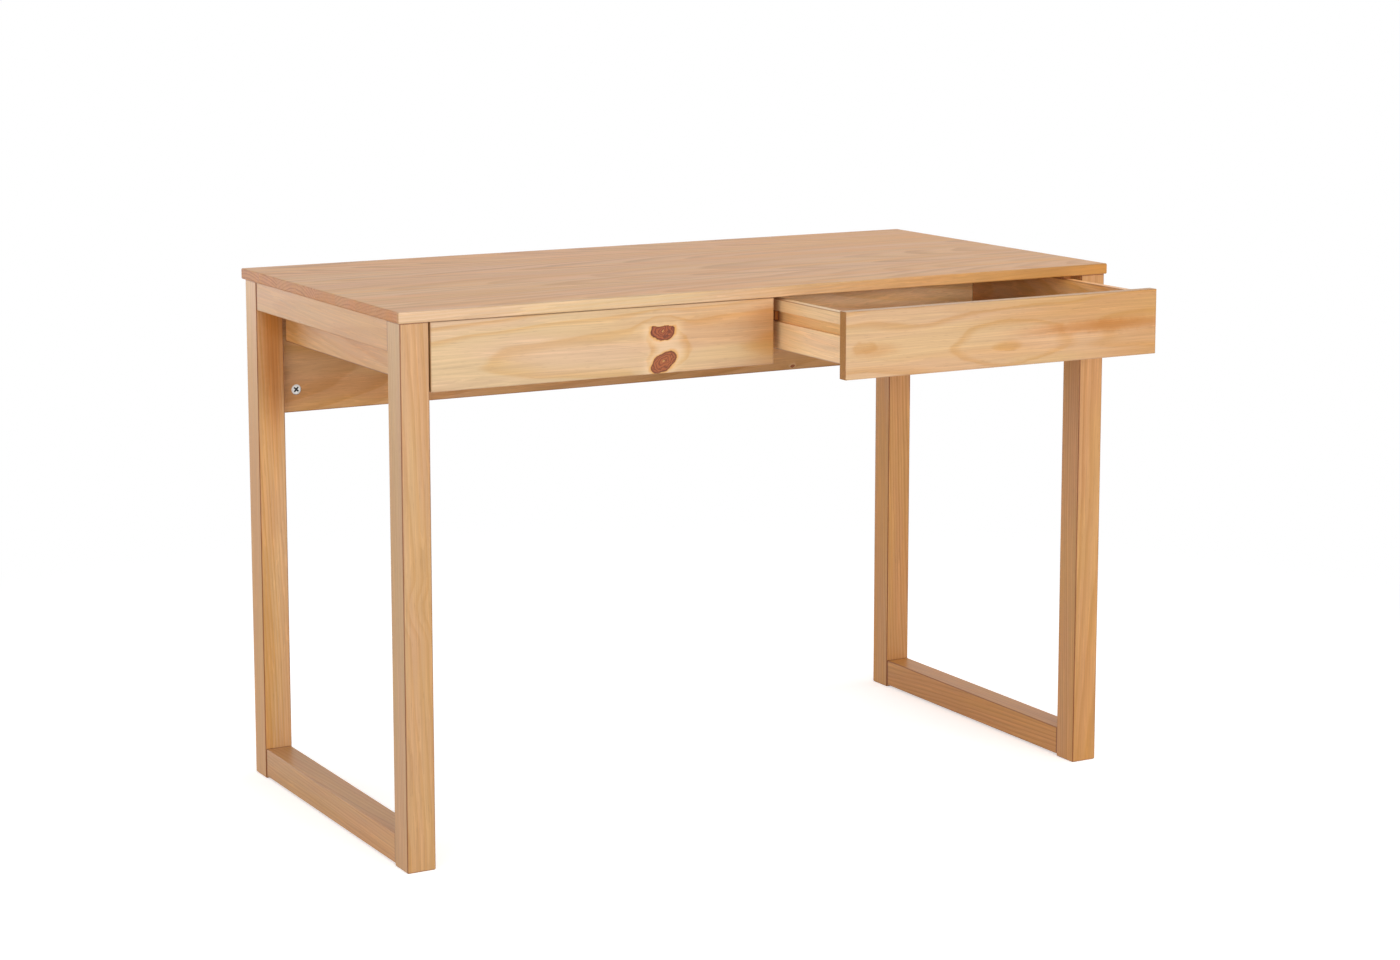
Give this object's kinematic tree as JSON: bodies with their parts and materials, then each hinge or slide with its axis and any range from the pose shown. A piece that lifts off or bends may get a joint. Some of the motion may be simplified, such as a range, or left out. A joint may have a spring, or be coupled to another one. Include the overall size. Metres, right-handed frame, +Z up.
{
  "type": "writing desk",
  "caption": "Writing desk in lacquered pine: rectangular top on open leg frames, a deep back panel, and handle-less drawers side by side that slide on wooden runners.",
  "frame": {"origin": "on the floor, under the middle of the desktop", "axes": "+X to the sitter's right along the desk's width, +Y from the drawer fronts to the back panel, +Z up"},
  "size_m": [1.1, 0.721, 0.73],
  "materials": {
    "pine_top": "satin clear lacquer on edge-glued pine",
    "pine_frame": "satin clear lacquer on pine",
    "pine_front": "satin clear lacquer on pine",
    "pine_inside": "satin clear lacquer on pine",
    "hardboard": "smooth brown hardboard",
    "beech": "bare",
    "zinc": "bright zinc die casting",
    "steel": "zinc-plated steel"
  },
  "bodies": {
    "desk": {"desktop": "pine_top", "back_panel": "pine_inside", "centre_divider": "pine_inside", "left_front_leg": "pine_frame", "left_rear_leg": "pine_frame", "left_top_rail": "pine_frame", "left_bottom_rail": "pine_frame", "left_side_board": "pine_inside", "left_drawer_outer_runner": "pine_inside", "left_drawer_inner_runner": "pine_inside", "right_front_leg": "pine_frame", "right_rear_leg": "pine_frame", "right_top_rail": "pine_frame", "right_bottom_rail": "pine_frame", "right_side_board": "pine_inside", "right_drawer_outer_runner": "pine_inside", "right_drawer_inner_runner": "pine_inside", "frame_dowels": "beech", "panel_dowels": "beech", "cam_locks": "zinc", "cam_bolts": "steel", "divider_dowels": "beech", "divider_screws": "steel", "desktop_screws": "steel", "side_board_screws": "steel", "runner_screws": "steel"},
    "left_drawer": {"left_drawer_front": "pine_front", "left_drawer_left_side": "pine_inside", "left_drawer_right_side": "pine_inside", "left_drawer_back": "pine_inside", "left_drawer_bottom": "hardboard", "left_drawer_dowels": "beech"},
    "right_drawer": {"right_drawer_front": "pine_front", "right_drawer_left_side": "pine_inside", "right_drawer_right_side": "pine_inside", "right_drawer_back": "pine_inside", "right_drawer_bottom": "hardboard", "right_drawer_dowels": "beech"}
  },
  "joints": [
    {"name": "left_drawer_slide", "type": "slide", "parent": "desk", "child": "left_drawer", "axis": [0, -1, 0], "range_m": [0, 0.3]},
    {"name": "right_drawer_slide", "type": "slide", "parent": "desk", "child": "right_drawer", "axis": [0, -1, 0], "range_m": [-0.1725, 0.1275]}
  ]
}
